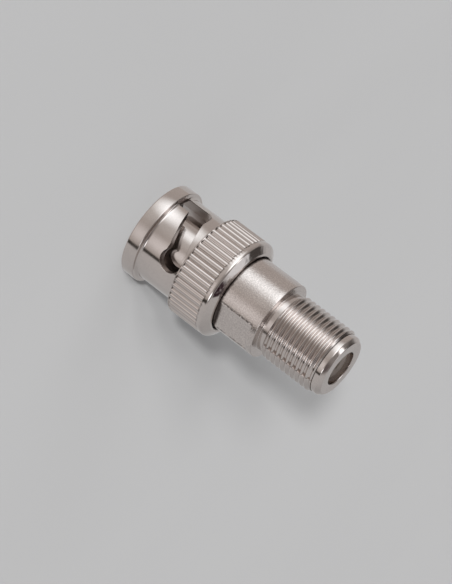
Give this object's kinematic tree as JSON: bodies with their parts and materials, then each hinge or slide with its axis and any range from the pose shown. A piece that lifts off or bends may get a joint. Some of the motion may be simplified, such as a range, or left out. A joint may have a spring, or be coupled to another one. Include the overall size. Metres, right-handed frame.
{
  "type": "bnc to f adapter",
  "caption": "Coaxial adapter with a spinning, ribbed bayonet coupling shell at one end and a threaded socket behind two wrench flats at the other.",
  "frame": {"origin": "centre of the front face of the coupling shell's flange, on which the part stands", "axes": "+Z along the axis from the bayonet end to the threaded socket; the wrench flats face +X and -X"},
  "size_m": [0.0144, 0.0144, 0.031],
  "materials": {
    "nickel_shell": "bright nickel plate over turned brass, soft mirror",
    "nickel_body": "bright nickel plate over turned brass, fine turning marks",
    "nickel_sleeve": "bright nickel plate",
    "insulator": "waxy white plastic",
    "gold_contact": "thin gold flash",
    "spring_steel": "rolled spring steel",
    "gasket": "matt silicone"
  },
  "bodies": {
    "adapter": {"adapter_body": "nickel_body", "outer_contact": "nickel_sleeve", "front_insulator": "insulator", "rear_insulator": "insulator", "centre_contact": "gold_contact", "gasket": "gasket", "wave_spring": "spring_steel"},
    "washer": {"thrust_washer": "spring_steel"},
    "shell": {"coupling_shell": "nickel_shell"}
  },
  "joints": [
    {"name": "shell_slide", "type": "slide", "parent": "adapter", "child": "washer", "axis": [0, 0, -1], "range_m": [0, 0.0005], "stiffness_N_per_m": 10000, "deforming": ["wave_spring"]},
    {"name": "shell_spin", "type": "hinge", "parent": "washer", "child": "shell", "pos_m": [0, 0, 0.0137], "axis": [0, 0, 1], "continuous": true}
  ]
}
